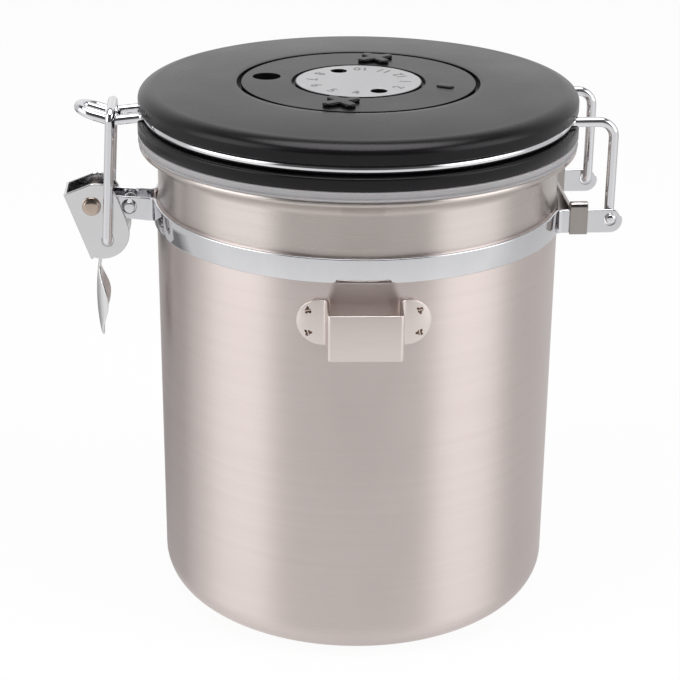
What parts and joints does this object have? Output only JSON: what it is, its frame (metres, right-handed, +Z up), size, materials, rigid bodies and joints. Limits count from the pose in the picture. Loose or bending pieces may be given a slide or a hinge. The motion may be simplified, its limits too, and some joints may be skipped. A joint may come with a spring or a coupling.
{
  "type": "clip-top coffee canister",
  "caption": "Brushed steel coffee canister with a wire clip latch, hinged black lid, date dials, vent valve and scoop holder.",
  "frame": {"origin": "on the canister's axis, on the plane of the foot that it stands on", "axes": "+Z up along the canister's axis; +X toward the lid hinge; -X toward the latch; -Y toward the scoop holder"},
  "size_m": [0.1636, 0.1382, 0.1608],
  "materials": {
    "brushed_steel": "satin, brushed round the axis",
    "polished_steel": "polished",
    "sheet_steel": "satin",
    "rivet_steel": "satin, slightly warm",
    "satin_steel": "satin",
    "chrome_wire": "polished",
    "black_plastic": "fine matte",
    "grey_silicone": "matt",
    "screw_steel": "bright zinc",
    "scale_print": "printed",
    "dial_face": "silver print, satin",
    "white_plastic": "satin",
    "valve_rubber": "matt",
    "screen_steel": "fine perforated"
  },
  "bodies": {
    "canister": {"canister_shell": "brushed_steel", "strap_front": "polished_steel", "strap_rear": "polished_steel", "hinge_tie": "sheet_steel", "latch_tie_pin": "polished_steel", "lever_rivet": "rivet_steel", "scoop_holder": "satin_steel"},
    "lever": {"latch_lever": "satin_steel"},
    "bail": {"latch_bail": "chrome_wire"},
    "lid": {"lid_ring_wire": "chrome_wire", "nose_wire": "chrome_wire", "lid_cover": "black_plastic", "lid_base": "black_plastic", "silicone_seal": "grey_silicone", "lid_screws": "screw_steel", "day_scale": "scale_print", "dial_axle": "black_plastic", "valve_seat": "white_plastic", "valve_cage": "white_plastic", "filter_screen": "screen_steel"},
    "day_dial": {"day_disc": "black_plastic"},
    "month_dial": {"month_dial": "dial_face", "dial_clip": "screw_steel"},
    "membrane": {"valve_membrane": "valve_rubber"}
  },
  "joints": [
    {"name": "lid_hinge", "type": "hinge", "parent": "canister", "child": "lid", "pos_m": [0.073, 0, 0.1228], "axis": [0, 1, 0], "range_deg": [0, 200]},
    {"name": "latch_lever_pivot", "type": "hinge", "parent": "canister", "child": "lever", "pos_m": [-0.079, 0, 0.1238], "axis": [0, 1, 0], "range_deg": [0, 130]},
    {"name": "bail_pivot", "type": "hinge", "parent": "lever", "child": "bail", "pos_m": [-0.0747, 0, 0.1131], "axis": [0, 1, 0], "range_deg": [-130, 0]},
    {"name": "day_dial_turn", "type": "hinge", "parent": "lid", "child": "day_dial", "pos_m": [0, 0, 0.158], "axis": [0, 0, 1], "continuous": true},
    {"name": "month_dial_turn", "type": "hinge", "parent": "lid", "child": "month_dial", "pos_m": [0, 0, 0.158], "axis": [0, 0, 1], "continuous": true},
    {"name": "membrane_lift", "type": "slide", "parent": "lid", "child": "membrane", "axis": [0, 0, 1], "range_m": [0, 0.0008]}
  ],
  "couplings": [
    {"joint": "bail_pivot", "follows": "latch_lever_pivot", "ratio": -1}
  ]
}
